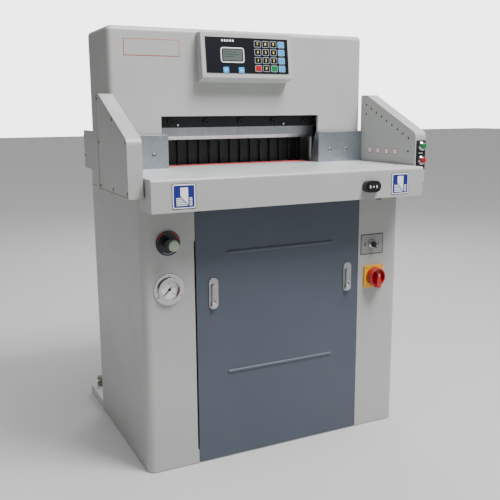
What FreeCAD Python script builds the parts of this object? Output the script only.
import FreeCAD, Part
import os
import re
import Sketcher

# Floor-standing hydraulic guillotine paper cutter with a 520 mm cut.
# Frame: origin on the floor under the middle of the base plate, +X to the operator's right,
# +Y to the back of the machine, +Z up.  Depths are measured from the cabinet front with behind().

SIZES = {
    # base and levelling bolts
    "base_width": 868, "base_depth": 686, "base_thick": 32,
    "foot_inset_side": 32, "foot_inset_end": 22, "foot_bolt_radius": 8, "foot_bolt_height": 66,
    "foot_head_height": 10, "foot_nut_height": 13, "foot_nut_radius": 15, "thread_clearance": 0.1,
    # cabinet sheets
    "cabinet_depth": 517, "cover_thick": 3, "corner_round": 25, "seam_height": 801, "cover_lift": 2,
    "door_width": 553, "door_thick": 2.5, "door_gap": 1.5, "door_bottom": 4, "door_top": 770,
    "door_return": 18, "grip_slot_width": 3.5, "grip_slot_bottom": 45, "grip_slot_top": 677,
    "rib_length": 358, "rib_radius": 7, "rib_proud": 3, "upper_rib_height": 635.5, "lower_rib_height": 271,
    # uprights
    "upright_inner": 378, "upright_thick": 30, "upright_front": 100, "upright_back": 500,
    "neck_front": 320.5, "neck_back": 440, "shoulder_height": 800, "upright_top": 1250,
    # table and bed
    "table_height": 864, "table_side_overhang": 3, "table_thick": 12, "table_overhang": 106,
    "table_back": 303, "table_wing_back": 236, "table_neck_half": 269, "table_round": 8,
    "apron_drop": 88, "apron_thick": 4, "apron_lip": 44, "lip_thick": 3, "skirt_back": 4,
    "bed_thick": 50, "bed_wall": 20, "web_front": 284, "web_step": 318, "web_back": 352,
    "stick_width": 18, "stick_rise": 2, "cut_line": 312,
    "rear_table_length": 735, "rear_table_half": 404, "rear_neck_half": 289, "rear_lip_half": 280,
    "rear_wall_thick": 5, "rear_wall_bottom": 795, "rear_wall_half": 160,
    "rear_guard_bottom": 840, "rear_guard_top": 972, "rear_guard_front": 458,
    "gauge_slot_half": 15, "gauge_slot_front": 362, "gauge_slot_back": 708,
    # upper housing
    "machine_height": 1280, "housing_side_overhang": 6, "housing_front": 240, "housing_depth": 215,
    "housing_round": 15, "throat_left": 283, "throat_right": 270, "throat_return": 10,
    "throat_path": 267, "throat_top": 1020,
    "rear_opening_half": 292, "rear_opening_top": 962,
    # console
    "console_width": 310, "console_offset": 8, "console_bottom": 1122, "console_top": 1269,
    "console_face_bottom": 1135, "console_reach_bottom": 44, "console_reach_top": 28,
    "console_wall": 3, "keypad_margin": 14, "keypad_thick": 1.5,
    # side guards and light curtain
    "guard_gap": 4, "guard_thick": 41, "guard_front": 59, "guard_back": 236, "guard_bottom": 811,
    "guard_top": 1085, "guard_flat": 34, "guard_knee": 964, "guard_round": 20, "guard_wall": 3,
    "guard_rim": 2, "guard_cover_thick": 2, "guard_cover_fit": 0.5,
    "bracket_front": 150, "bracket_back": 230, "bracket_bottom": 815, "bracket_top": 850,
    "lens_radius": 3.8, "lens_clearance": 0.1, "lens_length": 5, "lens_recess": 0.4,
    "lens_inset_back": 31.5, "lens_inset_top": 31.7, "lens_pitch_depth": 28.6, "lens_pitch_height": 13.2,
    "lens_extra_back": 31, "lens_extra_front": 41,
    # galvanised side plates and panel screws
    "plate_thick": 2, "plate_stand_off": 10, "plate_top": 965, "plate_flange_top": 19,
    "plate_flange_bottom": 56, "plate_screw_head": 6.5,
    "screw_head_radius": 4.5, "screw_head_height": 2.5, "screw_radius": 2.5, "screw_length": 12,
    "screw_clearance": 0.1, "screw_inset": 13, "plate_screw_height": 905, "plate_screw_inner": 313,
    "plate_screw_outer": 376, "rear_screw_inset": 10,
    # cross beam and knife unit
    "slide_gap": 0.5, "beam_back": 430, "beam_bottom": 1040, "beam_top": 1240,
    "beam_face": 27, "beam_flange": 28, "beam_end": 36,
    "knife_slant": 30, "knife_stroke": 79.5, "guide_offset": 150, "guide_height": 1080,
    "guide_half_length": 20, "guide_half_width": 14.6, "guide_depth": 18, "guide_clearance": 0.4,
    "slot_end_clearance": 2,
    "blade_thick": 9.5, "blade_left": 310, "blade_right": 290, "knife_edge": 946, "bevel_height": 11,
    "blade_top": 1030, "carrier_left": 345, "carrier_right": 325, "carrier_bottom": 985,
    "carrier_top": 1215, "carrier_thick": 22,
    "knife_bolt_pitch": 120, "knife_bolt_height": 1003, "knife_bolt_radius": 5,
    "knife_bolt_head_radius": 9, "knife_bolt_head_height": 6, "knife_bolt_clearance": 0.1,
    "link_pivot": 300, "link_pivot_height": 1010, "link_drop": 560, "link_eye_radius": 18,
    "link_half_width": 11, "link_thick": 14, "link_gap": 2.5, "link_pin_radius": 9,
    "running_clearance": 0.05, "open_pivot_clearance": 0.8,
    "clevis_gap": 0.5, "clevis_ear": 6.5, "clevis_base": 14, "clevis_half_width": 17,
    "knife_rod_radius": 16, "knife_bore_radius": 25, "knife_barrel_radius": 32,
    "knife_barrel_top": 328, "knife_bore_bottom": 100, "gland_length": 16,
    "knife_flange_radius": 45, "flange_thick": 14, "piston_length": 20, "piston_top_gap": 7,
    # clamp unit
    "clamp_front_gap": 1.5, "clamp_thick": 36.5, "clamp_half": 330, "clamp_bottom": 950,
    "clamp_height": 80, "clamp_rod_offset": 300, "clamp_rod_depth": 332, "clamp_rod_radius": 10,
    "clamp_rod_clearance": 0.1, "yoke_half": 326, "yoke_thick": 40, "yoke_bottom": 520, "yoke_height": 40,
    "clamp_piston_rod_radius": 18, "clamp_bore_radius": 35, "clamp_barrel_radius": 45,
    "clamp_barrel_top": 430, "clamp_bore_bottom": 210, "clamp_flange_radius": 70,
    # backgauge
    "gauge_rest": 365, "comb_half": 274, "comb_thick": 12, "comb_height": 80, "comb_lift": 0.6,
    "comb_rib_pitch": 37.5, "comb_rib_width": 5, "comb_rib_depth": 10,
    "foot_half": 60, "foot_length": 55, "foot_thick": 8, "neck_half": 13,
    "nut_half": 75, "nut_length": 50, "nut_inset": 3, "nut_bottom": 804, "nut_top": 842,
    "screw_axis_height": 822, "leadscrew_radius": 8, "leadscrew_start": 268,
    "coupling_radius": 14, "coupling_length": 14, "guide_rod_offset": 50, "guide_rod_radius": 10,
    "motor_size": 57, "motor_front": 190, "motor_back": 266, "motor_post_offset": 23, "motor_post_radius": 4,
    # hydraulic unit and electrical box
    "tank_left": 330, "tank_right": 100, "tank_front": 60, "tank_back": 290, "tank_top": 250,
    "tank_wall": 4, "pump_hole_radius": 40, "pump_offset": 250, "pump_depth": 150, "pump_radius": 30,
    "pump_bottom": 150, "motor_flange_radius": 62, "motor_flange_thick": 8, "motor_radius": 55,
    "motor_top": 400, "fan_cover_radius": 57, "fan_cover_top": 440,
    "manifold_left": 180, "manifold_right": 120, "manifold_front": 90, "manifold_back": 170,
    "manifold_top": 310,
    "box_left": 80, "box_right": 270, "box_front": 60, "box_back": 180, "box_top": 480, "box_wall": 3,
    "box_cable_radius": 20,
    "cable_offset": 300, "cable_height": 120, "cable_bore_radius": 6.5, "cable_thread_radius": 10,
    "cable_thread_length": 15, "cable_flange_radius": 16, "cable_flange_thick": 8,
    "cable_nut_radius": 13, "cable_nut_length": 22,
    # pressure gauge and regulator
    "gauge_offset": 358.5, "gauge_height": 546, "gauge_flange_radius": 45, "gauge_flange_thick": 3,
    "gauge_ring_radius": 34, "gauge_ring_proud": 12, "gauge_dial_radius": 28, "gauge_dial_floor": 2,
    "gauge_body_radius": 30, "gauge_body_length": 45, "needle_hub_radius": 4, "needle_lift": 0.4,
    "needle_hub_length": 3.6, "needle_length": 24.5, "needle_tail": 9, "needle_half_width": 1.2,
    "needle_thick": 1,
    "regulator_height": 678, "dial_plate_radius": 37.5, "dial_plate_thick": 2, "stem_radius": 9,
    "stem_length": 12, "knob_radius": 15.5, "knob_gap": 0.5, "knob_length": 41, "knob_step_radius": 12.5,
    "knob_step_length": 14, "spindle_radius": 4, "spindle_length": 15, "valve_size": 40,
    "valve_length": 45,
    # switches and push buttons
    "bezel_radius": 14.5, "bezel_proud": 9, "cut_bezel_proud": 2, "barrel_radius": 11, "barrel_length": 28,
    "panel_hole_clearance": 0.2, "button_bore_radius": 9, "button_bore_depth": 13,
    "button_proud": 5, "button_tail": 8,
    "selector_offset": 329.5, "selector_height": 615, "lever_half_length": 11.5, "lever_half_width": 3.8,
    "lever_proud": 13, "lever_base": 5,
    "main_switch_offset": 335.5, "main_switch_height": 510, "main_switch_size": 72,
    "main_switch_plate": 8, "main_switch_corner": 4, "main_switch_block": 48, "main_switch_depth": 50,
    "main_handle_radius": 30, "main_handle_thick": 22, "main_handle_rim": 5,
    "main_handle_dish": 13, "main_handle_gap": 0.5,
    "main_grip_half_width": 8, "main_grip_above": 14, "main_grip_below": 33, "main_grip_height": 6,
    "main_shaft_depth": 12,
    "guard_button_inset": 25, "green_button_height": 924, "red_button_height": 880,
    "cut_button_offset": 295, "cut_button_inset": 29,
    "pod_offset": 240, "pod_height": 814, "pod_width": 57, "pod_tall": 34, "pod_proud": 16,
    "pod_recess_half": 20, "pod_recess_tall_half": 8, "pod_recess_depth": 8,
    "rocker_half": 19, "rocker_tall_half": 7.5, "rocker_proud": 2.5, "rocker_thick": 6,
    "rocker_stem_half": 3, "rocker_stem_length": 3.5,
    # door locks
    "left_lock_offset": 224, "right_lock_offset": 236, "lock_height": 518, "lock_width": 29,
    "lock_tall": 93, "lock_plate_thick": 3, "lock_case_width": 22, "lock_case_tall": 60,
    "lock_case_depth": 14, "lock_fit": 0.2, "lock_pivot_rise": 18, "lock_lever_half_width": 7,
    "lock_lever_top": 10, "lock_lever_bottom": 60, "lock_lever_gap": 0.4, "lock_lever_thick": 6,
    "lock_shaft_radius": 4, "cam_gap": 0.6, "cam_thick": 3, "cam_half_width": 7, "cam_reach": 64,
}

COMB_RIBS = 15
KNIFE_BOLTS = 5
CURTAIN_BEAMS = 9

UP = FreeCAD.Vector(0, 0, 1)
DIRECTIONS = {
    "+X": FreeCAD.Vector(1, 0, 0), "-X": FreeCAD.Vector(-1, 0, 0),
    "+Y": FreeCAD.Vector(0, 1, 0), "-Y": FreeCAD.Vector(0, -1, 0),
    "+Z": UP, "-Z": FreeCAD.Vector(0, 0, -1),
}
SIDES = {"left": -1, "right": 1}

doc = FreeCAD.newDocument("paper_cutter")
sheet = doc.addObject("Spreadsheet::Sheet", "sizes")
for row, (alias, number) in enumerate(SIZES.items(), start=1):
    sheet.set(f"A{row}", alias)
    sheet.set(f"B{row}", str(number))
    sheet.setAlias(f"B{row}", alias)
doc.recompute()

nodes = []


# ---------------------------------------------------------------- drawing helpers

def sheet_name(found):
    """Puts the sheet's name in front of a word that is one of its sizes."""
    word = found.group(0)
    return "sizes." + word if word in SIZES else word


def bind(piece, prop, formula):
    """Ties one property of a piece to a formula over the named sizes."""
    piece.setExpression(prop, re.sub(r"[a-z]\w+", sheet_name, str(formula)))


def place(piece, at):
    """Ties the three coordinates of a piece to formulas."""
    for axis, formula in zip("xyz", at):
        bind(piece, f"Placement.Base.{axis}", formula)


def behind(depth):
    """The Y of a depth behind the cabinet front."""
    return f"(-base_depth / 2 + ({depth}))"


def sided(side, low, high):
    """The X span from low to high, mirrored on the left side."""
    if side > 0:
        return (low, high)
    return (f"-({high})", f"-({low})")


def keep(piece):
    """Lists a finished sub-part, whose Label names its file."""
    nodes.append(piece)
    return piece


def block(label, across, deep, tall):
    """A rectangular block between three pairs of formulas."""
    piece = doc.addObject("Part::Box", label)
    spans = (across, deep, tall)
    for prop, (low, high) in zip(("Length", "Width", "Height"), spans):
        bind(piece, prop, f"({high}) - ({low})")
    place(piece, [low for low, high in spans])
    return piece


def bar(label, direction, start, length, radius):
    """A round bar from its start point along a direction."""
    piece = doc.addObject("Part::Cylinder", label)
    bind(piece, "Radius", radius)
    bind(piece, "Height", length)
    piece.Placement = FreeCAD.Placement(FreeCAD.Vector(), FreeCAD.Rotation(UP, DIRECTIONS[direction]))
    place(piece, start)
    return piece


def hexagon(label, at, radius, height):
    """A hexagonal head or nut standing on its point."""
    piece = doc.addObject("Part::Prism", label)
    piece.Polygon = 6
    bind(piece, "Circumradius", radius)
    bind(piece, "Height", height)
    place(piece, at)
    return piece


def fuse(label, *pieces):
    """One solid made of pieces that touch."""
    piece = doc.addObject("Part::MultiFuse", label)
    piece.Shapes = list(pieces)
    piece.Refine = True
    return piece


def group(label, pieces):
    """Several separate solids of one kind under one name."""
    piece = doc.addObject("Part::Compound", label)
    piece.Links = list(pieces)
    return piece


def cut(label, base, *tools):
    """The base without the tools."""
    piece = doc.addObject("Part::Cut", label)
    piece.Base = base
    piece.Tool = tools[0] if len(tools) == 1 else group(label + "_tools", tools)
    return piece


def outline_sketch(body, role, outline):
    """A closed sketch on an origin plane whose corners sit at pairs of formulas."""
    sketch = body.newObject("Sketcher::SketchObject", body.Name + "_outline")
    plane = [part for part in body.Origin.OriginFeatures if part.Role == role][0]
    sketch.AttachmentSupport = [(plane, "")]
    sketch.MapMode = "FlatFace"
    count = len(outline)
    spots = [FreeCAD.Vector(10, 0, 0)]
    turn = FreeCAD.Rotation(UP, 360.0 / count)
    for corner in range(count - 1):
        spots.append(turn.multVec(spots[-1]))
    for corner in range(count):
        sketch.addGeometry(Part.LineSegment(spots[corner], spots[(corner + 1) % count]), False)
    joins = [Sketcher.Constraint("Coincident", corner, 2, (corner + 1) % count, 1) for corner in range(count)]
    sketch.addConstraint(joins)
    for corner, formulas in enumerate(outline):
        starts = (spots[corner].x, spots[corner].y)
        for kind, formula, start in zip(("DistanceX", "DistanceY"), formulas, starts):
            number = sketch.addConstraint(Sketcher.Constraint(kind, -1, 1, corner, 1, start))
            bind(sketch, f"Constraints[{number}]", formula)
    return sketch


def standing_edges(shape, points, direction):
    """Names of the straight edges along a direction that pass through any of the points."""
    names = []
    for number, edge in enumerate(shape.Edges, start=1):
        start = edge.Vertexes[0].Point
        along = edge.Vertexes[-1].Point - start
        if along.Length < 0.01:
            continue
        along.normalize()
        near = min(point.distanceToLine(start, along) for point in points)
        if abs(along.dot(direction)) > 0.999 and near < 0.01:
            names.append(f"Edge{number}")
    return names


def round_edges(body, feature, names, radius):
    """Rounds the named edges of a body's last feature."""
    rounding = body.newObject("PartDesign::Fillet", feature.Name + "_round")
    rounding.Base = (feature, names)
    bind(rounding, "Radius", radius)
    doc.recompute()
    return rounding


PLANES = {
    "XY": ("XY_Plane", FreeCAD.Vector(0, 0, 1)),
    "XZ": ("XZ_Plane", FreeCAD.Vector(0, -1, 0)),
    "YZ": ("YZ_Plane", FreeCAD.Vector(1, 0, 0)),
}


def prism(label, plane, outline, span, rounded=(), radius=None):
    """A prism of an outline between two planes; rounded lists the outline corners to round."""
    role, direction = PLANES[plane]
    low, high = span
    body = doc.addObject("PartDesign::Body", label)
    sketch = outline_sketch(body, role, outline)
    bind(sketch, "AttachmentOffset.Base.z", f"-({high})" if plane == "XZ" else low)
    pad = body.newObject("PartDesign::Pad", label + "_pad")
    pad.Profile = sketch
    bind(pad, "Length", f"({high}) - ({low})")
    doc.recompute()
    if rounded:
        points = [sketch.getGlobalPlacement().multVec(sketch.getPoint(corner, 1)) for corner in rounded]
        round_edges(body, pad, standing_edges(pad.Shape, points, direction), radius)
    return body


def turned(label, profile, direction, at):
    """A turned piece: profile corners are (radius, distance along the direction)."""
    body = doc.addObject("PartDesign::Body", label)
    sketch = outline_sketch(body, "XZ_Plane", profile)
    turn = body.newObject("PartDesign::Revolution", label + "_turn")
    turn.Profile = sketch
    turn.ReferenceAxis = (sketch, ["V_Axis"])
    turn.Angle = 360
    body.Placement = FreeCAD.Placement(FreeCAD.Vector(), FreeCAD.Rotation(UP, DIRECTIONS[direction]))
    place(body, at)
    return body


def rectangle(low, high):
    """The four corners of a rectangle from its lowest and highest corner."""
    return [(low[0], low[1]), (high[0], low[1]), (high[0], high[1]), (low[0], high[1])]


def slanted(centre, back, ahead, half_width, angle):
    """A rectangle turned by an angle from straight down towards +X, about its centre point."""
    down = (f"sin({angle} * 1 deg)", f"-cos({angle} * 1 deg)")
    wide = (f"cos({angle} * 1 deg)", f"sin({angle} * 1 deg)")
    corners = []
    for along, side in ((f"-({back})", -1), (ahead, -1), (ahead, 1), (f"-({back})", 1)):
        corners.append(tuple(
            f"{centre[k]} + ({along}) * {down[k]} + {side} * ({half_width}) * {wide[k]}" for k in (0, 1)))
    return corners


BED_TOP = "(table_height - table_thick)"
BED_BOTTOM = "(table_height - table_thick - bed_thick)"
TABLE_HALF = "(base_width / 2 + table_side_overhang)"
HOUSING_HALF = "(base_width / 2 + housing_side_overhang)"
GUARD_INNER = f"({TABLE_HALF} + guard_gap)"
GUARD_OUTER = f"({TABLE_HALF} + guard_gap + guard_thick)"
GUARD_BUTTON_X = f"({GUARD_INNER} + guard_button_inset)"
TABLE_FRONT = behind("-table_overhang")
CUT_BUTTON_Y = f"{TABLE_FRONT} + cut_button_inset"
CARRIER_BACK = "(cut_line - blade_thick)"
CARRIER_FRONT = "(cut_line - blade_thick - carrier_thick)"
BEAM_FRONT = "(cut_line - blade_thick + slide_gap)"
LINK_LEAN = "(knife_stroke * tan(knife_slant * 1 deg) / 2)"
LINK_BACK = f"({CARRIER_FRONT} - link_gap)"
LINK_FRONT = f"({CARRIER_FRONT} - link_gap - link_thick)"
PISTON_X = f"(link_pivot + {LINK_LEAN})"
PISTON_DEPTH = f"({CARRIER_FRONT} - link_gap - link_thick / 2)"
CLEVIS_HEIGHT = "(link_pivot_height - link_drop)"


# ---------------------------------------------------------------- frame

def base_and_bolts():
    """The base plate with its rear ledge, and the four levelling bolts at its corners."""
    inner = "(base_width / 2 - cover_thick)"
    outline = [
        (f"-{inner}", behind("cover_thick")), (inner, behind("cover_thick")),
        (inner, behind("cabinet_depth")), ("base_width / 2", behind("cabinet_depth")),
        ("base_width / 2", behind("base_depth")), ("-base_width / 2", behind("base_depth")),
        ("-base_width / 2", behind("cabinet_depth")), (f"-{inner}", behind("cabinet_depth")),
    ]
    plate = prism("base_blank", "XY", outline, ("0", "base_thick"), (0, 1), "corner_round - cover_thick")
    holes = []
    bolts = []
    spots = [(x, y) for x in ("-(base_width / 2 - foot_inset_side)", "(base_width / 2 - foot_inset_side)")
             for y in (behind("foot_inset_end + cover_thick"), behind("base_depth - foot_inset_end"))]
    for number, (x, y) in enumerate(spots):
        holes.append(bar(f"foot_hole_{number}", "+Z", (x, y, "-1"), "base_thick + 2",
                         "foot_bolt_radius + thread_clearance"))
        shank = bar(f"foot_shank_{number}", "+Z", (x, y, "0"), "foot_bolt_height", "foot_bolt_radius")
        nut = hexagon(f"foot_nut_{number}", (x, y, "base_thick"), "foot_nut_radius", "foot_nut_height")
        head = hexagon(f"foot_head_{number}", (x, y, "foot_bolt_height - foot_head_height"),
                       "foot_nut_radius", "foot_head_height")
        bolts.append(fuse(f"foot_bolt_{number}", shank, nut, head))
    keep(cut("base_plate", plate, *holes))
    keep(group("levelling_bolts", bolts))


def uprights():
    """The two heavy side plates that carry the bed and the cross beam."""
    outline = [(behind(depth), height) for depth, height in (
        ("upright_front", "base_thick"), ("upright_back", "base_thick"),
        ("upright_back", "shoulder_height"), ("neck_back", "shoulder_height"),
        ("neck_back", "upright_top"), ("neck_front", "upright_top"),
        ("neck_front", "shoulder_height"), ("upright_front", "shoulder_height"))]
    for name, side in SIDES.items():
        span = sided(side, "upright_inner", "upright_inner + upright_thick")
        keep(prism(f"{name}_upright", "YZ", outline, span))


def table_bed():
    """The cast frame under the table: a ring with a web that backs the cutting stick."""
    half = "(base_width / 2)"
    tall = (BED_BOTTOM, BED_TOP)
    walls = []
    for name, side in SIDES.items():
        walls.append(block(f"bed_{name}_wall", sided(side, f"{half} - bed_wall", half),
                           (behind("cover_thick"), behind("cabinet_depth")), tall))
    front = block("bed_front_wall", (f"-{half}", half),
                  (behind("cover_thick"), behind("cover_thick + bed_wall")), tall)
    web = block("bed_web", (f"-({half} - bed_wall)", f"{half} - bed_wall"),
                (behind("web_front"), behind("web_step")), tall)
    thick_web = block("bed_thick_web", ("-(upright_inner - guard_wall)", "upright_inner - guard_wall"),
                      (behind("web_step"), behind("web_back")), tall)
    holes = [bar("bed_screw_bore", "+Y", ("0", behind("web_front - 1"), "screw_axis_height"),
                 "web_back - web_front + 2", "leadscrew_radius + running_clearance")]
    for name, side in SIDES.items():
        holes.append(bar(f"bed_{name}_rod_bore", "+Z",
                         (f"{side} * clamp_rod_offset", behind("clamp_rod_depth"), f"{BED_BOTTOM} - 1"),
                         "bed_thick + 2", "clamp_rod_radius + clamp_rod_clearance"))
    keep(cut("table_bed", fuse("bed_ring", *walls, front, web, thick_web), *holes))


def cross_beam():
    """The cast beam between the uprights, with the two slanted guide blocks of the knife carrier."""
    solid = block("beam_solid", ("-upright_inner", "upright_inner"),
                  (behind(BEAM_FRONT), behind("beam_back")), ("beam_bottom", "beam_top"))
    pocket = block("beam_pocket", ("-(upright_inner - beam_end)", "upright_inner - beam_end"),
                   (behind(f"{BEAM_FRONT} + beam_face"), behind("beam_back + 1")),
                   ("beam_bottom + beam_flange", "beam_top - beam_flange"))
    beam = cut("beam_casting", solid, pocket)
    guides = []
    for name, side in SIDES.items():
        outline = slanted((f"{side} * guide_offset", "guide_height"),
                          "guide_half_length", "guide_half_length", "guide_half_width", "knife_slant")
        guides.append(prism(f"{name}_guide_block", "XZ", outline,
                            (behind(f"{BEAM_FRONT} - guide_depth"), behind(BEAM_FRONT))))
    keep(fuse("cross_beam", beam, *guides))


# ---------------------------------------------------------------- tables

def front_table():
    """The work table: a folded plate with an apron, end skirts and a lip for the cut buttons."""
    apron_bottom = "(table_height - apron_drop)"
    outline = [
        (TABLE_FRONT, apron_bottom), (TABLE_FRONT, "table_height"),
        (behind("table_back"), "table_height"), (behind("table_back"), BED_TOP),
        (f"{TABLE_FRONT} + apron_thick", BED_TOP),
        (f"{TABLE_FRONT} + apron_thick", f"{apron_bottom} + lip_thick"),
        (f"{TABLE_FRONT} + apron_lip", f"{apron_bottom} + lip_thick"),
        (f"{TABLE_FRONT} + apron_lip", apron_bottom),
    ]
    half = TABLE_HALF
    folded = prism("table_folded", "YZ", outline, (f"-{half}", half), (1,), "table_round")
    skirts = []
    cuts = []
    for name, side in SIDES.items():
        skirts.append(block(f"table_{name}_skirt", sided(side, f"{half} - apron_thick", half),
                            (f"{TABLE_FRONT} + apron_thick", behind("-skirt_back")), (apron_bottom, BED_TOP)))
        cuts.append(block(f"table_{name}_notch", sided(side, "table_neck_half", f"{half} + 1"),
                          (behind("table_wing_back"), behind("table_back + 1")),
                          (f"{BED_TOP} - 1", "table_height + 1")))
        cuts.append(bar(f"table_{name}_button_hole", "+Z",
                        (f"{side} * cut_button_offset", CUT_BUTTON_Y, f"{apron_bottom} - 1"),
                        "lip_thick + 2", "barrel_radius + panel_hole_clearance"))
    keep(cut("front_table", fuse("table_blank", folded, *skirts), *cuts))
    keep(block("cutting_stick", ("-throat_path", "throat_path"),
               (behind("cut_line - stick_width / 2"), behind("cut_line + stick_width / 2")),
               (BED_TOP, "table_height + stick_rise")))


def rear_table():
    """The table behind the knife, with its side walls, end wall and the slot for the backgauge neck."""
    start = "(cut_line + stick_width / 2)"
    wide_from = "(housing_front + housing_depth)"
    outline = [
        ("-rear_lip_half", behind(start)), ("rear_lip_half", behind(start)),
        ("rear_lip_half", behind("web_back")), ("rear_neck_half", behind("web_back")),
        ("rear_neck_half", behind(wide_from)), ("rear_table_half", behind(wide_from)),
        ("rear_table_half", behind("rear_table_length")), ("-rear_table_half", behind("rear_table_length")),
        ("-rear_table_half", behind(wide_from)), ("-rear_neck_half", behind(wide_from)),
        ("-rear_neck_half", behind("web_back")), ("-rear_lip_half", behind("web_back")),
    ]
    plate = prism("rear_table_plate", "XY", outline, (BED_TOP, "table_height"))
    end_front = "(rear_table_length - rear_wall_thick)"
    end_wall = block("rear_end_wall", ("-rear_wall_half", "rear_wall_half"),
                     (behind(end_front), behind("rear_table_length")), ("rear_wall_bottom", BED_TOP))
    walls = []
    cuts = [block("gauge_slot", ("-gauge_slot_half", "gauge_slot_half"),
                  (behind("gauge_slot_front"), behind("gauge_slot_back")),
                  (f"{BED_TOP} - 1", "table_height + 1")),
            bar("rear_screw_bore", "+Y", ("0", behind(f"{end_front} - 1"), "screw_axis_height"),
                "rear_wall_thick + 2", "leadscrew_radius + running_clearance")]
    for name, side in SIDES.items():
        walls.append(block(f"rear_{name}_wall", sided(side, "rear_table_half - guard_wall", "rear_table_half"),
                           (behind("rear_guard_front"), behind("rear_table_length")),
                           ("rear_guard_bottom", "rear_guard_top")))
        for number, height in enumerate(REAR_SCREW_HEIGHTS):
            cuts.append(screw_hole(f"rear_{name}_hole_{number}", outward(side),
                                   (f"{side} * rear_table_half", REAR_SCREW_Y, height)))
    keep(cut("rear_table", fuse("rear_table_blank", plate, end_wall, *walls), *cuts))


# ---------------------------------------------------------------- covers

def side_covers():
    """The painted side covers, each folded round the rounded front corner into a front strip."""
    half = "(base_width / 2)"
    strip = "(door_width / 2 + door_gap)"
    for name, side in SIDES.items():
        corner = 0 if side < 0 else 1
        outer = rectangle((sided(side, strip, half)[0], behind("0")),
                          (sided(side, strip, half)[1], behind("cabinet_depth")))
        inner = rectangle((sided(side, f"{strip} - 1", f"{half} - cover_thick")[0], behind("cover_thick")),
                          (sided(side, f"{strip} - 1", f"{half} - cover_thick")[1], behind("cabinet_depth + 1")))
        skin = prism(f"{name}_cover_outer", "XY", outer, ("cover_lift", "seam_height"), (corner,), "corner_round")
        core = prism(f"{name}_cover_core", "XY", inner, ("cover_lift - 1", "seam_height + 1"),
                     (corner,), "corner_round - cover_thick")
        through = (behind("-1"), behind("cover_thick + 1"))
        if side < 0:
            cuts = [
                bar("regulator_hole", "+Y", (f"-gauge_offset", through[0], "regulator_height"),
                    "cover_thick + 2", "stem_radius + panel_hole_clearance"),
                bar("gauge_hole", "+Y", (f"-gauge_offset", through[0], "gauge_height"),
                    "cover_thick + 2", "gauge_body_radius + panel_hole_clearance"),
                block("grip_slot", (f"-({strip} + grip_slot_width)", f"-({strip} - 1)"), through,
                      ("grip_slot_bottom", "grip_slot_top")),
            ]
        else:
            opening = "(main_switch_block / 2 + panel_hole_clearance)"
            cuts = [
                bar("selector_hole", "+Y", ("selector_offset", through[0], "selector_height"),
                    "cover_thick + 2", "barrel_radius + panel_hole_clearance"),
                block("main_switch_hole", (f"main_switch_offset - {opening}", f"main_switch_offset + {opening}"),
                      through, (f"main_switch_height - {opening}", f"main_switch_height + {opening}")),
            ]
        keep(cut(f"{name}_side_cover", skin, core, *cuts))


def rear_cover():
    """The flat cover that closes the cabinet at the back, with the hole of the cable gland."""
    half = "(base_width / 2 - cover_thick)"
    sheet_metal = block("rear_cover_sheet", (f"-{half}", half),
                        (behind("cabinet_depth - cover_thick"), behind("cabinet_depth")),
                        ("base_thick", "seam_height"))
    hole = bar("cable_hole", "+Y", ("cable_offset", behind("cabinet_depth - cover_thick - 1"), "cable_height"),
               "cover_thick + 2", "cable_thread_radius + thread_clearance")
    keep(cut("rear_cover", sheet_metal, hole))


def housing_solid(label, inset, back):
    """The outside of the upper housing, moved inwards by inset, with its front and top edges rounded."""
    half = f"({HOUSING_HALF} - {inset})"
    outline = rectangle((f"-{half}", behind(f"housing_front + {inset}")), (half, behind(back)))
    body = prism(label, "XY", outline, (BED_TOP, f"machine_height - {inset}"))
    pad = body.Tip
    box = pad.Shape.BoundBox
    names = []
    for number, edge in enumerate(pad.Shape.Edges, start=1):
        spot = edge.CenterOfMass
        upright = abs(spot.y - box.YMin) < 0.01 and spot.z < box.ZMax - 1 and spot.z > box.ZMin + 1
        top = spot.z > box.ZMax - 0.01 and spot.y < box.YMax - 1
        if upright or top:
            names.append(f"Edge{number}")
    round_edges(body, pad, names, f"housing_round - {inset}")
    return body


def upper_housing():
    """The sheet hood over the knife unit, open at the back and at the throat, and its rear cover."""
    skin = housing_solid("housing_outer", "0", "housing_front + housing_depth")
    core = housing_solid("housing_core", "cover_thick", "housing_front + housing_depth + 1")
    hood = cut("housing_hood", skin, core)
    depth = (behind("housing_front + 0.5"), behind("housing_front + throat_return"))
    tall = (BED_TOP, "throat_top")
    jambs = [block("left_jamb", ("-throat_left - cover_thick", "-throat_left"), depth, tall),
             block("right_jamb", ("throat_right", "throat_right + cover_thick"), depth, tall)]
    throat = block("housing_throat", ("-throat_left", "throat_right"),
                   (behind("housing_front - 1"), behind("housing_front + throat_return + 1")),
                   (f"{BED_TOP} - 1", "throat_top"))
    keep(cut("upper_housing", fuse("housing_blank", hood, *jambs), throat))
    half = f"({HOUSING_HALF} - cover_thick)"
    top = "(machine_height - cover_thick)"
    outline = [
        (f"-{half}", BED_TOP), ("-rear_opening_half", BED_TOP),
        ("-rear_opening_half", "rear_opening_top"), ("rear_opening_half", "rear_opening_top"),
        ("rear_opening_half", BED_TOP), (half, BED_TOP), (half, top), (f"-{half}", top),
    ]
    back = "housing_front + housing_depth"
    blank = prism("upper_rear_blank", "XZ", outline, (behind(f"{back} - cover_thick"), behind(back)),
                  (6, 7), "housing_round - cover_thick")
    blank.Label = "upper_rear_cover"
    keep(blank)


# ---------------------------------------------------------------- screws, guards and side plates

REAR_SCREW_Y = behind("rear_table_length - rear_screw_inset")
REAR_SCREW_HEIGHTS = ("rear_guard_top - 2 * rear_screw_inset", "table_height + 2 * rear_screw_inset")
PANEL_SCREWS = []


def outward(side):
    """The direction that points away from the machine on one side."""
    return "+X" if side > 0 else "-X"


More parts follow.
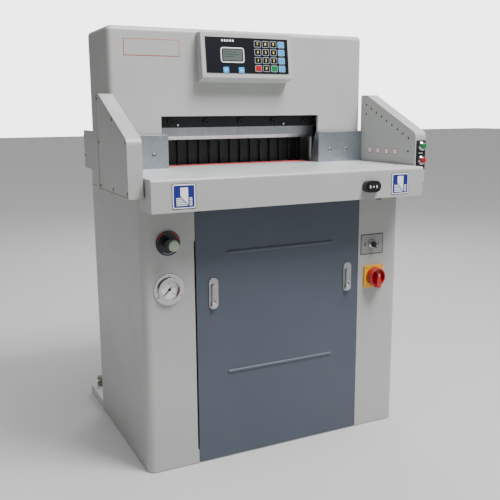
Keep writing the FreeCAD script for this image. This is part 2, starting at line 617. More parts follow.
def screw_hole(label, direction, at, head="screw_head_radius"):
    """A clearance hole for a panel screw, and the screw itself, whose head seats at the point."""
    body = turned(label + "_screw", [
        ("0", "-screw_length"), ("screw_radius", "-screw_length"), ("screw_radius", "0"),
        (head, "0"), (head, "screw_head_height / 2"), (f"{head} * 0.6", "screw_head_height"),
        ("0", "screw_head_height")], direction, at)
    PANEL_SCREWS.append(body)
    backwards = {"+X": "-X", "-X": "+X", "-Y": "+Y"}[direction]
    lift = {"+X": ("+ 1", "", ""), "-X": ("- 1", "", ""), "-Y": ("", "- 1", "")}[direction]
    start = [f"{value} {more}" for value, more in zip(at, lift)]
    return bar(label, backwards, start, "plate_thick + guard_wall + 2", "screw_radius + screw_clearance")


def guard_outline(inset):
    """The side view of a guard moved inwards by inset: upright back, short flat top, slope, upright front."""
    lean = "atan((guard_top - guard_knee) / (guard_front + guard_back - guard_flat))"
    back = behind(f"guard_back - {inset}")
    front = behind(f"{inset} - guard_front")
    return [
        (back, f"guard_bottom + {inset}"), (back, f"guard_top - {inset}"),
        (behind(f"guard_back - guard_flat + {inset} * tan({lean} / 2)"), f"guard_top - {inset}"),
        (front, f"guard_knee - {inset} * tan((90 deg - {lean}) / 2)"), (front, f"guard_bottom + {inset}"),
    ]


def middle(first, second):
    """The point half-way between two outline corners."""
    return tuple(f"(({a}) + ({b})) / 2" for a, b in zip(first, second))


def curtain_spots():
    """The light curtain's lens points on a guard: a row along the slope and one more near each end."""
    back = "(guard_back - lens_inset_back)"
    top = "(guard_top - lens_inset_top)"
    last = CURTAIN_BEAMS - 1
    spots = [(behind(f"{back} - {beam} * lens_pitch_depth"), f"{top} - {beam} * lens_pitch_height")
             for beam in range(CURTAIN_BEAMS)]
    spots.append((behind(back), f"{top} - lens_extra_back"))
    spots.append((behind(f"{back} - {last} * lens_pitch_depth"),
                  f"{top} - {last} * lens_pitch_height - lens_extra_front"))
    return spots


def guards():
    """The two hollow side guards with their screwed covers and the light curtain's lenses."""
    lenses = []
    for name, side in SIDES.items():
        outer = prism(f"{name}_guard_outer", "YZ", guard_outline("0"), sided(side, GUARD_INNER, GUARD_OUTER),
                      (3,), "guard_round")
        core = prism(f"{name}_guard_core", "YZ", guard_outline("guard_wall"),
                     sided(side, f"{GUARD_INNER} + guard_wall", f"{GUARD_OUTER} + 1"),
                     (3,), "guard_round - guard_wall")
        bracket = block(f"{name}_guard_bracket", sided(side, "base_width / 2", f"{GUARD_INNER}"),
                        (behind("bracket_front"), behind("bracket_back")), ("bracket_bottom", "bracket_top"))
        cuts = []
        for number, (y, z) in enumerate(curtain_spots()):
            inner_face = f"{side} * {GUARD_INNER}"
            cuts.append(bar(f"{name}_lens_hole_{number}", outward(side), (f"{inner_face} - {side}", y, z),
                            "guard_wall + 2", "lens_radius + lens_clearance"))
            lenses.append(bar(f"{name}_lens_{number}", outward(side),
                              (f"{inner_face} + {side} * lens_recess", y, z), "lens_length", "lens_radius"))
        if side > 0:
            for colour in ("green", "red"):
                cuts.append(bar(f"{colour}_guard_hole", "+Y",
                                (GUARD_BUTTON_X, behind("-guard_front - 1"), f"{colour}_button_height"),
                                "guard_wall + 2", "barrel_radius + panel_hole_clearance"))
        hollow = cut(f"{name}_guard_shell", outer, core)
        keep(cut(f"{name}_guard", fuse(f"{name}_guard_blank", hollow, bracket), *cuts))

        face = f"{GUARD_OUTER} - guard_rim"
        sheet_metal = prism(f"{name}_guard_sheet", "YZ", guard_outline("(guard_wall + guard_cover_fit)"),
                            sided(side, f"{face} - guard_cover_thick", face),
                            (3,), "guard_round - guard_wall - guard_cover_fit")
        corners = guard_outline("screw_inset")
        spots = [corners[1], middle(corners[2], corners[3]), corners[3], middle(corners[0], corners[1]),
                 corners[0], middle(corners[0], corners[4]), corners[4]]
        holes = [screw_hole(f"{name}_guard_hole_{number}", outward(side), (f"{side} * ({face})", y, z))
                 for number, (y, z) in enumerate(spots)]
        keep(cut(f"{name}_guard_cover", sheet_metal, *holes))
    keep(group("curtain_lenses", lenses))


def side_plates():
    """The galvanised plates beside the throat, each with a flange turned back along the paper path."""
    back = behind("housing_front - plate_stand_off")
    front = behind("housing_front - plate_stand_off - plate_thick")
    tall = ("table_height", "plate_top")
    for name, side in SIDES.items():
        face = block(f"{name}_plate_face", sided(side, "throat_path", GUARD_INNER), (front, back), tall)
        flange = prism(f"{name}_plate_flange", "YZ",
                       [(back, "table_height"), (f"{back} + plate_flange_bottom", "table_height"),
                        (f"{back} + plate_flange_top", "plate_top"), (back, "plate_top")],
                       sided(side, "throat_path", "throat_path + plate_thick"))
        holes = [screw_hole(f"{name}_plate_hole_{number}", "-Y",
                            (f"{side} * {offset}", front, "plate_screw_height"), "plate_screw_head")
                 for number, offset in enumerate(("plate_screw_inner", "plate_screw_outer"))]
        keep(cut(f"{name}_side_plate", fuse(f"{name}_plate_blank", face, flange), *holes))


# ---------------------------------------------------------------- console

def console():
    """The wedge-shaped control console and the membrane keypad panel on its leaning face."""
    wall = "console_wall"
    left = "(-console_width / 2 - console_offset)"
    right = "(console_width / 2 - console_offset)"
    low = (f"(-base_depth / 2 + housing_front - console_reach_bottom)", "console_face_bottom")
    high = (f"(-base_depth / 2 + housing_front - console_reach_top)", "console_top")
    outline = [(behind("housing_front"), "console_bottom"), (behind("housing_front"), "console_top"), high, low]
    inner = [(behind("housing_front + 1"), f"console_bottom + {wall}"),
             (behind("housing_front + 1"), f"console_top - {wall}"),
             (f"{high[0]} + {wall}", f"{high[1]} - {wall}"), (f"{low[0]} + {wall}", f"{low[1]} + {wall}")]
    solid = prism("console_outer", "YZ", outline, (left, right))
    core = prism("console_core", "YZ", inner, (f"{left} + {wall}", f"{right} - {wall}"))
    keep(cut("control_console", solid, core))

    run = "(console_reach_bottom - console_reach_top)"
    rise = "(console_top - console_face_bottom)"
    length = f"sqrt({run} ^ 2 + {rise} ^ 2)"
    along = (f"{run} / {length}", f"{rise} / {length}")
    proud = (f"-keypad_thick * {along[1]}", f"keypad_thick * {along[0]}")
    foot = tuple(f"{low[k]} + keypad_margin * {along[k]}" for k in (0, 1))
    head = tuple(f"{high[k]} - keypad_margin * {along[k]}" for k in (0, 1))
    outline = [foot, head, tuple(f"{head[k]} + {proud[k]}" for k in (0, 1)),
               tuple(f"{foot[k]} + {proud[k]}" for k in (0, 1))]
    keep(prism("keypad_panel", "YZ", outline, (f"{left} + keypad_margin", f"{right} - keypad_margin")))


# ---------------------------------------------------------------- knife unit

def knife_bolt_spots():
    """The bolts' places across the knife, evenly spaced about the middle."""
    middle_bolt = (KNIFE_BOLTS - 1) / 2
    return [f"{number - middle_bolt} * knife_bolt_pitch" for number in range(KNIFE_BOLTS)]


def knife_unit():
    """The knife carrier with its slanted slots and link pin, the blade and the bolts between them."""
    carrier = block("carrier_plate", ("-carrier_left", "carrier_right"),
                    (behind(CARRIER_FRONT), behind(CARRIER_BACK)), ("carrier_bottom", "carrier_top"))
    pin = bar("carrier_pin", "-Y", ("link_pivot", behind(CARRIER_FRONT), "link_pivot_height"),
              "link_thick + 2 * link_gap", "link_pin_radius")
    through = (behind(f"{CARRIER_FRONT} - 1"), behind(f"{CARRIER_BACK} + 1"))
    travel = "knife_stroke / cos(knife_slant * 1 deg)"
    cuts = []
    for name, side in SIDES.items():
        outline = slanted((f"{side} * guide_offset", "guide_height"),
                          f"guide_half_length + slot_end_clearance + {travel}",
                          "guide_half_length + slot_end_clearance",
                          "guide_half_width + guide_clearance", "knife_slant")
        cuts.append(prism(f"{name}_carrier_slot", "XZ", outline, through))
    blade_outline = [
        (behind("cut_line"), "knife_edge"), (behind("cut_line"), "blade_top"),
        (behind(CARRIER_BACK), "blade_top"), (behind(CARRIER_BACK), "knife_edge + bevel_height"),
    ]
    blade = prism("blade_blank", "YZ", blade_outline, ("-blade_left", "blade_right"))
    blade_holes = []
    bolts = []
    for number, x in enumerate(knife_bolt_spots()):
        spot = (x, behind(CARRIER_FRONT), "knife_bolt_height")
        for holes, label in ((cuts, "carrier"), (blade_holes, "blade")):
            holes.append(bar(f"{label}_bolt_hole_{number}", "+Y", (x, behind(f"{CARRIER_FRONT} - 1"), spot[2]),
                             "carrier_thick + blade_thick + 2", "knife_bolt_radius + knife_bolt_clearance"))
        bolts.append(turned(f"knife_bolt_{number}", [
            ("0", "-(carrier_thick + blade_thick)"), ("knife_bolt_radius", "-(carrier_thick + blade_thick)"),
            ("knife_bolt_radius", "0"), ("knife_bolt_head_radius", "0"),
            ("knife_bolt_head_radius", "knife_bolt_head_height"),
            ("knife_bolt_radius", "knife_bolt_head_height"),
            ("knife_bolt_radius", "knife_bolt_head_height / 2"), ("0", "knife_bolt_head_height / 2")],
            "-Y", spot))
    keep(cut("knife_carrier", fuse("carrier_blank", carrier, pin), *cuts))
    keep(cut("knife_blade", blade, *blade_holes))
    keep(group("knife_bolts", bolts))


def knife_link():
    """The pull link from the carrier pin down to the piston's clevis."""
    top = ("link_pivot", "link_pivot_height")
    low = (PISTON_X, CLEVIS_HEIGHT)
    length = f"sqrt({LINK_LEAN} ^ 2 + link_drop ^ 2)"
    wide = (f"link_half_width * link_drop / {length}", f"link_half_width * {LINK_LEAN} / {length}")
    outline = [
        tuple(f"{top[k]} - {wide[k]}" for k in (0, 1)), tuple(f"{low[k]} - {wide[k]}" for k in (0, 1)),
        tuple(f"{low[k]} + {wide[k]}" for k in (0, 1)), tuple(f"{top[k]} + {wide[k]}" for k in (0, 1)),
    ]
    shank = prism("link_shank", "XZ", outline, (behind(LINK_FRONT), behind(LINK_BACK)))
    eyes = []
    holes = []
    for name, (x, z), clearance in (("upper", top, "running_clearance"),
                                    ("lower", low, "open_pivot_clearance")):
        eyes.append(bar(f"link_{name}_eye", "+Y", (x, behind(LINK_FRONT), z), "link_thick", "link_eye_radius"))
        holes.append(bar(f"link_{name}_hole", "+Y", (x, behind(f"{LINK_FRONT} - 1"), z), "link_thick + 2",
                         f"link_pin_radius + {clearance}"))
    keep(cut("knife_link", fuse("link_blank", shank, *eyes), *holes))


def knife_drive():
    """The knife's hydraulic cylinder and its piston with rod, clevis and pin."""
    axis = (PISTON_X, behind(PISTON_DEPTH), "0")
    half = "(link_thick / 2 + clevis_gap + clevis_ear)"
    across = (f"{PISTON_X} - clevis_half_width", f"{PISTON_X} + clevis_half_width")
    base_top = f"({CLEVIS_HEIGHT} - link_eye_radius - 4)"
    base_bottom = f"({base_top} - clevis_base)"
    fork = block("clevis_solid", across,
                 (behind(f"{PISTON_DEPTH} - {half}"), behind(f"{PISTON_DEPTH} + {half}")),
                 (base_bottom, f"{CLEVIS_HEIGHT} + link_eye_radius"))
    gap = "(link_thick / 2 + clevis_gap)"
    slot = block("clevis_slot", (f"{across[0]} - 1", f"{across[1]} + 1"),
                 (behind(f"{PISTON_DEPTH} - {gap}"), behind(f"{PISTON_DEPTH} + {gap}")),
                 (base_top, f"{CLEVIS_HEIGHT} + link_eye_radius + 1"))
    pin = bar("clevis_pin", "+Y", (PISTON_X, behind(f"{PISTON_DEPTH} - {half}"), CLEVIS_HEIGHT),
              f"2 * {half}", "link_pin_radius")
    piston_top = "(knife_barrel_top - gland_length - piston_top_gap)"
    rod = turned("knife_rod", [
        ("0", f"{piston_top} - piston_length"),
        ("knife_bore_radius - running_clearance", f"{piston_top} - piston_length"),
        ("knife_bore_radius - running_clearance", piston_top), ("knife_rod_radius", piston_top),
        ("knife_rod_radius", base_bottom), ("0", base_bottom)], "+Z", axis)
    keep(fuse("knife_piston", cut("clevis_fork", fork, slot), pin, rod))
    keep(turned("knife_cylinder", barrel_profile("knife_barrel_radius", "knife_bore_radius", "knife_rod_radius",
                                                 "knife_flange_radius", "knife_bore_bottom",
                                                 "knife_barrel_top"), "+Z", axis))


def barrel_profile(outer, bore, rod, flange, bore_bottom, top):
    """The section of a hydraulic barrel: foot flange, blind bore and a gland round the rod."""
    return [
        ("0", "base_thick"), (flange, "base_thick"), (flange, "base_thick + flange_thick"),
        (outer, "base_thick + flange_thick"), (outer, top), (f"{rod} + running_clearance", top),
        (f"{rod} + running_clearance", f"{top} - gland_length"), (bore, f"{top} - gland_length"),
        (bore, bore_bottom), ("0", bore_bottom),
    ]


# ---------------------------------------------------------------- clamp unit

def clamp_unit():
    """The clamp beam, its two pull rods, the yoke with the piston, and the clamp cylinder."""
    front = behind("cut_line + clamp_front_gap")
    keep(block("clamp_beam", ("-clamp_half", "clamp_half"), (front, f"{front} + clamp_thick"),
               ("clamp_bottom", "clamp_bottom + clamp_height")))
    rods = [bar(f"clamp_{name}_rod", "+Z",
                (f"{side} * clamp_rod_offset", behind("clamp_rod_depth"), "yoke_bottom + yoke_height"),
                "clamp_bottom - yoke_bottom - yoke_height", "clamp_rod_radius") for name, side in SIDES.items()]
    keep(group("clamp_rods", rods))
    bridge = block("yoke_bridge", ("-yoke_half", "yoke_half"),
                   (behind("clamp_rod_depth - yoke_thick / 2"), behind("clamp_rod_depth + yoke_thick / 2")),
                   ("yoke_bottom", "yoke_bottom + yoke_height"))
    piston_top = "(clamp_barrel_top - gland_length - piston_top_gap)"
    axis = ("0", behind("clamp_rod_depth"), "0")
    rod = turned("clamp_piston_rod", [
        ("0", f"{piston_top} - piston_length"),
        ("clamp_bore_radius - running_clearance", f"{piston_top} - piston_length"),
        ("clamp_bore_radius - running_clearance", piston_top), ("clamp_piston_rod_radius", piston_top),
        ("clamp_piston_rod_radius", "yoke_bottom"), ("0", "yoke_bottom")], "+Z", axis)
    keep(fuse("clamp_yoke", bridge, rod))
    keep(turned("clamp_cylinder", barrel_profile("clamp_barrel_radius", "clamp_bore_radius",
                                                 "clamp_piston_rod_radius", "clamp_flange_radius",
                                                 "clamp_bore_bottom", "clamp_barrel_top"), "+Z", axis))


# ---------------------------------------------------------------- backgauge

def backgauge():
    """The ribbed backgauge with the foot, neck and nut block that carry it under the table."""
    low = "(table_height + comb_lift)"
    plate = block("comb_plate", ("-comb_half", "comb_half"),
                  (behind("gauge_rest"), behind("gauge_rest + comb_thick")),
                  (low, "table_height + comb_height"))
    ribs = []
    for number in range(COMB_RIBS):
        centre = f"{number - (COMB_RIBS - 1) / 2} * comb_rib_pitch"
        ribs.append(block(f"comb_rib_{number}",
                          (f"{centre} - comb_rib_width / 2", f"{centre} + comb_rib_width / 2"),
                          (behind("gauge_rest - comb_rib_depth"), behind("gauge_rest")),
                          (low, "table_height + comb_height")))
    foot = block("gauge_foot", ("-foot_half", "foot_half"),
                 (behind("gauge_rest"), behind("gauge_rest + foot_length")),
                 (low, f"{low} + foot_thick"))
    nut_span = (behind("gauge_rest + nut_inset"), behind("gauge_rest + nut_inset + nut_length"))
    neck = block("gauge_neck", ("-neck_half", "neck_half"), nut_span, ("nut_top", low))
    nut = block("gauge_nut", ("-nut_half", "nut_half"), nut_span, ("nut_bottom", "nut_top"))
    bores = [bar("nut_screw_bore", "+Y", ("0", f"{nut_span[0]} - 1", "screw_axis_height"), "nut_length + 2",
                 "leadscrew_radius + running_clearance")]
    for name, side in SIDES.items():
        bores.append(bar(f"nut_{name}_bore", "+Y",
                         (f"{side} * guide_rod_offset", f"{nut_span[0]} - 1", "screw_axis_height"),
                         "nut_length + 2", "guide_rod_radius + running_clearance"))
    keep(cut("backgauge", fuse("gauge_blank", plate, *ribs, foot, neck, nut), *bores))


def backgauge_drive():
    """The leadscrew with its coupling, the two guide rods and the stepper motor on its posts."""
    axis = ("0", behind("leadscrew_start"), "screw_axis_height")
    length = "(rear_table_length - leadscrew_start)"
    keep(turned("leadscrew", [
        ("0", "0"), ("coupling_radius", "0"), ("coupling_radius", "coupling_length"),
        ("leadscrew_radius", "coupling_length"), ("leadscrew_radius", length), ("0", length)], "+Y", axis))
    keep(group("backgauge_rods", [
        bar(f"guide_rod_{name}", "+Y", (f"{side} * guide_rod_offset", behind("web_back"), "screw_axis_height"),
            "rear_table_length - rear_wall_thick - web_back", "guide_rod_radius")
        for name, side in SIDES.items()]))
    half = "(motor_size / 2)"
    case = block("stepper_case", (f"-{half}", half), (behind("motor_front"), behind("motor_back")),
                 (f"screw_axis_height - {half}", f"screw_axis_height + {half}"))
    posts = [bar(f"motor_post_{x}_{z}".replace("-", "m"), "+Y",
                 (f"{x} * motor_post_offset", behind("motor_back"),
                  f"screw_axis_height + {z} * motor_post_offset"),
                 "web_front - motor_back", "motor_post_radius") for x in (-1, 1) for z in (-1, 1)]
    keep(fuse("backgauge_motor", case, *posts))


# ---------------------------------------------------------------- hydraulic unit and electrics

def hydraulic_unit():
    """The oil tank with its valve manifold, and the motor with the pump that hangs in the oil."""
    inner = ("-(tank_left - tank_wall)", "-(tank_right + tank_wall)")
    tank = block("tank_solid", ("-tank_left", "-tank_right"), (behind("tank_front"), behind("tank_back")),
                 ("base_thick", "tank_top"))
    manifold = block("manifold_block", ("-manifold_left", "-manifold_right"),
                     (behind("manifold_front"), behind("manifold_back")), ("tank_top", "manifold_top"))
    oil = block("tank_inside", inner, (behind("tank_front + tank_wall"), behind("tank_back - tank_wall")),
                ("base_thick + tank_wall", "tank_top - tank_wall"))
    lid_hole = bar("pump_hole", "+Z", ("-pump_offset", behind("pump_depth"), "tank_top - tank_wall - 1"),
                   "tank_wall + 2", "pump_hole_radius")
    keep(cut("oil_tank", fuse("tank_blank", tank, manifold), oil, lid_hole))
    flange_top = "(tank_top + motor_flange_thick)"
    keep(turned("pump_motor", [
        ("0", "pump_bottom"), ("pump_radius", "pump_bottom"), ("pump_radius", "tank_top"),
        ("motor_flange_radius", "tank_top"), ("motor_flange_radius", flange_top),
        ("motor_radius", flange_top), ("motor_radius", "motor_top"), ("fan_cover_radius", "motor_top"),
        ("fan_cover_radius", "fan_cover_top"), ("0", "fan_cover_top")],
        "+Z", ("-pump_offset", behind("pump_depth"), "0")))


def electrics():
    """The closed electrical box with its cable hole, and the gland of the mains cable in the rear cover."""
    solid = block("box_solid", ("box_left", "box_right"), (behind("box_front"), behind("box_back")),
                  ("base_thick", "box_top"))
    inside = block("box_inside", ("box_left + box_wall", "box_right - box_wall"),
                   (behind("box_front + box_wall"), behind("box_back - box_wall")),
                   ("base_thick + box_wall", "box_top - box_wall"))
    hole = bar("box_cable_hole", "+Z", ("(box_left + box_right) / 2", behind("(box_front + box_back) / 2"),
                                        "box_top - box_wall - 1"), "box_wall + 2", "box_cable_radius")
    keep(cut("electrical_box", solid, inside, hole))
    nut_top = "(cable_flange_thick + cable_nut_length)"
    keep(turned("cable_gland", [
        ("cable_bore_radius", "-cable_thread_length"), ("cable_thread_radius", "-cable_thread_length"),
        ("cable_thread_radius", "0"), ("cable_flange_radius", "0"),
        ("cable_flange_radius", "cable_flange_thick"),
        ("cable_nut_radius", "cable_flange_thick"), ("cable_nut_radius", nut_top),
        ("cable_bore_radius", nut_top)], "+Y", ("cable_offset", behind("cabinet_depth"), "cable_height")))


# ---------------------------------------------------------------- gauge, regulator and switches

def pressure_gauge():
    """The panel pressure gauge: flanged case with an open dial, and its needle."""
    at = ("-gauge_offset", behind("0"), "gauge_height")
    keep(turned("gauge_case", [
        ("0", "-gauge_body_length"), ("gauge_body_radius", "-gauge_body_length"), ("gauge_body_radius", "0"),
        ("gauge_flange_radius", "0"), ("gauge_flange_radius", "gauge_flange_thick"),
        ("gauge_ring_radius", "gauge_flange_thick"), ("gauge_ring_radius", "gauge_ring_proud"),
        ("gauge_dial_radius", "gauge_ring_proud"), ("gauge_dial_radius", "gauge_dial_floor"),
        ("0", "gauge_dial_floor")], "-Y", at))
    lift = "(gauge_dial_floor + needle_lift)"
    hub = bar("needle_hub", "-Y", ("-gauge_offset", behind(f"-{lift}"), "gauge_height"), "needle_hub_length",
              "needle_hub_radius")
    outline = slanted(("-gauge_offset", "gauge_height"), "needle_tail", "needle_length",
                      "needle_half_width", "-45")
    pointer = prism("needle_pointer", "XZ", outline,
                    (behind(f"-{lift} - 1 - needle_thick"), behind(f"-{lift} - 1")))
    keep(fuse("gauge_needle", hub, pointer))


def regulator():
    """The pressure regulator behind the left panel with its dial plate, and the knob on its spindle."""
    at = ("-gauge_offset", behind("0"), "regulator_height")
    bore = "spindle_radius + running_clearance"
    plate = turned("regulator_stem", [
        ("0", "-(cover_thick + 1)"), ("stem_radius", "-(cover_thick + 1)"), ("stem_radius", "0"),
        ("dial_plate_radius", "0"), ("dial_plate_radius", "dial_plate_thick"),
        ("stem_radius", "dial_plate_thick"),
        ("stem_radius", "stem_length"), ("0", "stem_length")], "-Y", at)
    half = "(valve_size / 2)"
    valve = block("valve_block", (f"-gauge_offset - {half}", f"-gauge_offset + {half}"),
                  (behind("cover_thick + 1"), behind("cover_thick + 1 + valve_length")),
                  (f"regulator_height - {half}", f"regulator_height + {half}"))
    hole = bar("spindle_bore", "+Y", ("-gauge_offset", behind("-stem_length - 1"), "regulator_height"),
               "knob_gap + spindle_length + 2", bore)
    keep(cut("regulator_valve", fuse("regulator_blank", plate, valve), hole))
    base = "(stem_length + knob_gap)"
    keep(turned("pressure_knob", [
        ("0", f"{base} - spindle_length"), ("spindle_radius", f"{base} - spindle_length"),
        ("spindle_radius", base), ("knob_step_radius", base),
        ("knob_step_radius", f"{base} + knob_step_length"), ("knob_radius", f"{base} + knob_step_length"),
        ("knob_radius", f"{base} + knob_length"), ("0", f"{base} + knob_length")], "-Y", at))


BUTTON_SPOTS = {
    "selector": ("-Y", ("selector_offset", behind("0"), "selector_height"), "bezel_proud"),
    "green": ("-Y", (GUARD_BUTTON_X, behind("-guard_front"), "green_button_height"), "bezel_proud"),
    "red": ("-Y", (GUARD_BUTTON_X, behind("-guard_front"), "red_button_height"), "bezel_proud"),
    "left_cut": ("-Z", ("-cut_button_offset", CUT_BUTTON_Y, "table_height - apron_drop"), "cut_bezel_proud"),
    "right_cut": ("-Z", ("cut_button_offset", CUT_BUTTON_Y, "table_height - apron_drop"), "cut_bezel_proud"),
}


def push_buttons():
    """The five chromed button bodies, and the four push buttons in them."""
    bezels = [turned(f"{name}_bezel", [
        ("0", "-barrel_length"), ("barrel_radius", "-barrel_length"), ("barrel_radius", "0"),
        ("bezel_radius", "0"), ("bezel_radius", f"{proud} / 2"), (f"bezel_radius - {proud} / 2", proud),
        ("button_bore_radius", proud), ("button_bore_radius", "-button_bore_depth"),
        ("0", "-button_bore_depth")], direction, at) for name, (direction, at, proud) in BUTTON_SPOTS.items()]
    keep(group("button_bezels", bezels))
    radius = "(button_bore_radius - running_clearance)"
    for name, (direction, at, proud) in BUTTON_SPOTS.items():
        if name != "selector":
            keep(turned(f"{name}_button", [
                ("0", "-button_tail"), (radius, "-button_tail"), (radius, f"{proud} + button_proud - 1"),
                (f"{radius} - 1", f"{proud} + button_proud"), ("0", f"{proud} + button_proud")],
                direction, at))


def selector():
    """The selector's short lever on its round shank, turned towards the lower right."""
    at = BUTTON_SPOTS["selector"][1]
    shank = bar("lever_shank", "-Y", (at[0], behind("button_tail"), at[2]),
                "button_tail + bezel_proud + lever_base", "button_bore_radius - running_clearance")
    outline = slanted((at[0], at[2]), "lever_half_length", "lever_half_length", "lever_half_width", "45")
    grip = prism("lever_grip", "XZ", outline,
                 (behind("-bezel_proud - lever_proud"), behind("-bezel_proud - 0.4")),
                 (0, 1, 2, 3), "lever_half_width / 2")
    keep(fuse("selector_lever", shank, grip))


def main_switch():
    """The main switch: square plate with its switch block, and the rotary handle."""
    half = "(main_switch_size / 2)"
    block_half = "(main_switch_block / 2)"
    x, z = "main_switch_offset", "main_switch_height"
    square = rectangle((f"{x} - {half}", f"{z} - {half}"), (f"{x} + {half}", f"{z} + {half}"))
    plate = prism("switch_plate", "XZ", square,
                  (behind("-main_switch_plate"), behind("0")), (0, 1, 2, 3), "main_switch_corner")
    back = block("switch_block", (f"{x} - {block_half}", f"{x} + {block_half}"),
                 (behind("0"), behind("main_switch_depth")), (f"{z} - {block_half}", f"{z} + {block_half}"))
    hole = bar("switch_shaft_hole", "+Y", (x, behind("-main_switch_plate - 1"), z),
               "main_switch_plate + main_shaft_depth + 2", "spindle_radius + running_clearance")
    keep(cut("main_switch_body", fuse("switch_blank", plate, back), hole))
    base = "(main_switch_plate + main_handle_gap)"
    face = f"({base} + main_handle_thick)"
    disc = turned("handle_disc", [
        ("0", "-main_shaft_depth"), ("spindle_radius", "-main_shaft_depth"), ("spindle_radius", base),
        ("main_handle_radius", base), ("main_handle_radius", f"{face} - 3"),
        ("main_handle_radius - 2", face), ("main_handle_radius - main_handle_rim", face),
        ("main_handle_radius - main_handle_rim - 2", f"{face} - main_handle_dish"),
        ("0", f"{face} - main_handle_dish")], "-Y", (x, behind("0"), z))
    grip = prism("handle_grip", "XZ",
                 [(f"{x} - main_grip_half_width", f"{z} - main_grip_below"),
                  (f"{x} + main_grip_half_width", f"{z} - main_grip_below"),
                  (f"{x} + main_grip_half_width * 0.7", f"{z} + main_grip_above"),
                  (f"{x} - main_grip_half_width * 0.7", f"{z} + main_grip_above")],
                 (behind(f"-{face} - main_grip_height"), behind(f"-{face} + main_handle_dish + 1")),
                 (0, 1, 2, 3), "main_grip_half_width / 2")
    keep(fuse("main_switch_handle", disc, grip))


def jog_pod():
    """The oval pod on the apron with its recess, and the rocker that jogs the backgauge."""
    x, z = "pod_offset", "pod_height"
    front = f"({TABLE_FRONT} - pod_proud)"
    shell = prism("pod_shell", "XZ",
                  rectangle((f"{x} - pod_width / 2", f"{z} - pod_tall / 2"),
                            (f"{x} + pod_width / 2", f"{z} + pod_tall / 2")),
                  (front, TABLE_FRONT), (0, 1, 2, 3), "pod_tall / 2 - 0.2")
    recess = block("pod_recess", (f"{x} - pod_recess_half", f"{x} + pod_recess_half"),
                   (f"{front} - 1", f"{front} + pod_recess_depth"),
                   (f"{z} - pod_recess_tall_half", f"{z} + pod_recess_tall_half"))
    keep(cut("key_pod", shell, recess))
    rocker_front = f"({front} - rocker_proud)"
    bar_part = block("rocker_bar", (f"{x} - rocker_half", f"{x} + rocker_half"),
                     (rocker_front, f"{rocker_front} + rocker_thick"),
                     (f"{z} - rocker_tall_half", f"{z} + rocker_tall_half"))
    axis = f"{rocker_front} + rocker_thick + rocker_stem_length - rocker_stem_half"
    stem = bar("rocker_stem", "+Z", (x, axis, f"{z} - rocker_tall_half"), "2 * rocker_tall_half",
               "rocker_stem_half")
    keep(fuse("jog_rocker", bar_part, stem))


# ---------------------------------------------------------------- front cover and locks

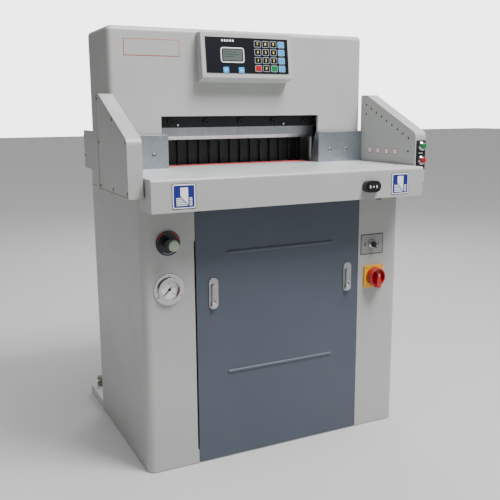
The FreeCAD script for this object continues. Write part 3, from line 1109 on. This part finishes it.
def front_cover():
    """The lift-off front cover with two pressed ribs, and the two flush locks in it."""
    half = "(door_width / 2)"
    face = block("door_face", (f"-{half}", half), (behind("0"), behind("door_thick")),
                 ("door_bottom", "door_top"))
    returns = [block("door_top_return", (f"-{half}", half), (behind("door_thick"), behind("door_return")),
                     ("door_top - door_thick", "door_top")),
               block("door_bottom_return", (f"-{half}", half), (behind("door_thick"), behind("door_return")),
                     ("base_thick + 4", "base_thick + 4 + door_thick"))]
    ribs = []
    for name in ("upper", "lower"):
        whole = bar(f"{name}_rib_bar", "+X",
                    ("-rib_length / 2", behind("rib_radius - rib_proud"), f"{name}_rib_height"),
                    "rib_length", "rib_radius")
        room = block(f"{name}_rib_room", ("-rib_length / 2", "rib_length / 2"),
                     (behind("-rib_proud"), behind("door_thick")),
                     (f"{name}_rib_height - rib_radius", f"{name}_rib_height + rib_radius"))
        rib = doc.addObject("Part::Common", f"{name}_rib")
        rib.Base = whole
        rib.Tool = room
        ribs.append(rib)
    openings = []
    cases = []
    for name, side in SIDES.items():
        x = f"{side} * {name}_lock_offset"
        z = "lock_height"
        width = "(lock_case_width / 2)"
        tall = "(lock_case_tall / 2)"
        openings.append(block(f"{name}_lock_opening",
                              (f"{x} - {width} - lock_fit", f"{x} + {width} + lock_fit"),
                              (behind("-1"), behind("door_thick + 1")),
                              (f"{z} - {tall} - lock_fit", f"{z} + {tall} + lock_fit")))
        plate = prism(f"{name}_lock_plate", "XZ",
                      rectangle((f"{x} - lock_width / 2", f"{z} - lock_tall / 2"),
                                (f"{x} + lock_width / 2", f"{z} + lock_tall / 2")),
                      (behind("-lock_plate_thick"), behind("0")), (0, 1, 2, 3), "lock_width / 2 - 0.2")
        case = block(f"{name}_lock_case", (f"{x} - {width}", f"{x} + {width}"),
                     (behind("0"), behind("lock_case_depth")), (f"{z} - {tall}", f"{z} + {tall}"))
        bore = bar(f"{name}_lock_bore", "+Y", (x, behind("-lock_plate_thick - 1"), f"{z} + lock_pivot_rise"),
                   "lock_plate_thick + lock_case_depth + 2", "lock_shaft_radius + running_clearance")
        cases.append(cut(f"{name}_lock", fuse(f"{name}_lock_blank", plate, case), bore))
        lock_handle(name, x)
    keep(cut("front_cover", fuse("door_blank", face, *returns, *ribs), *openings))
    keep(group("lock_cases", cases))


def lock_handle(name, x):
    """A lock's lever, shaft and cam, with the cam standing up as it does when the lock is open."""
    pivot = "(lock_height + lock_pivot_rise)"
    back = "(-lock_plate_thick - lock_lever_gap)"
    lever = prism(f"{name}_lock_lever", "XZ",
                  rectangle((f"{x} - lock_lever_half_width", f"{pivot} - lock_lever_bottom"),
                            (f"{x} + lock_lever_half_width", f"{pivot} + lock_lever_top")),
                  (behind(f"{back} - lock_lever_thick"), behind(back)), (0, 1, 2, 3),
                  "lock_lever_half_width - 0.2")
    shaft = bar(f"{name}_lock_shaft", "+Y", (x, behind(back), pivot),
                "lock_plate_thick + lock_lever_gap + lock_case_depth + cam_gap", "lock_shaft_radius")
    cam_front = "(lock_case_depth + cam_gap)"
    cam = block(f"{name}_lock_cam", (f"{x} - cam_half_width", f"{x} + cam_half_width"),
                (behind(cam_front), behind(f"{cam_front} + cam_thick")),
                (f"{pivot} - cam_half_width", f"{pivot} + cam_reach"))
    keep(fuse(f"{name}_lock_handle", lever, shaft, cam))


# ---------------------------------------------------------------- build, check and write

for build in (base_and_bolts, uprights, table_bed, cross_beam, front_table, rear_table, side_covers,
              rear_cover, upper_housing, guards, side_plates, console, knife_unit, knife_link, knife_drive,
              clamp_unit, backgauge, backgauge_drive, hydraulic_unit, electrics, pressure_gauge, regulator,
              push_buttons, selector, main_switch, jog_pod, front_cover):
    build()
keep(group("cover_screws", PANEL_SCREWS))
doc.recompute()

faults = [piece.Label for piece in doc.Objects if "Invalid" in piece.State or "Error" in piece.State]
faults += [piece.Label for piece in nodes if piece.Shape.isNull() or not piece.Shape.isValid()]
if faults:
    raise SystemExit("failed objects: " + ", ".join(faults))

os.makedirs("parts", exist_ok=True)
for piece in nodes:
    piece.Shape.exportStep(os.path.join("parts", piece.Label + ".step"))
print(len(nodes), "sub-parts written")
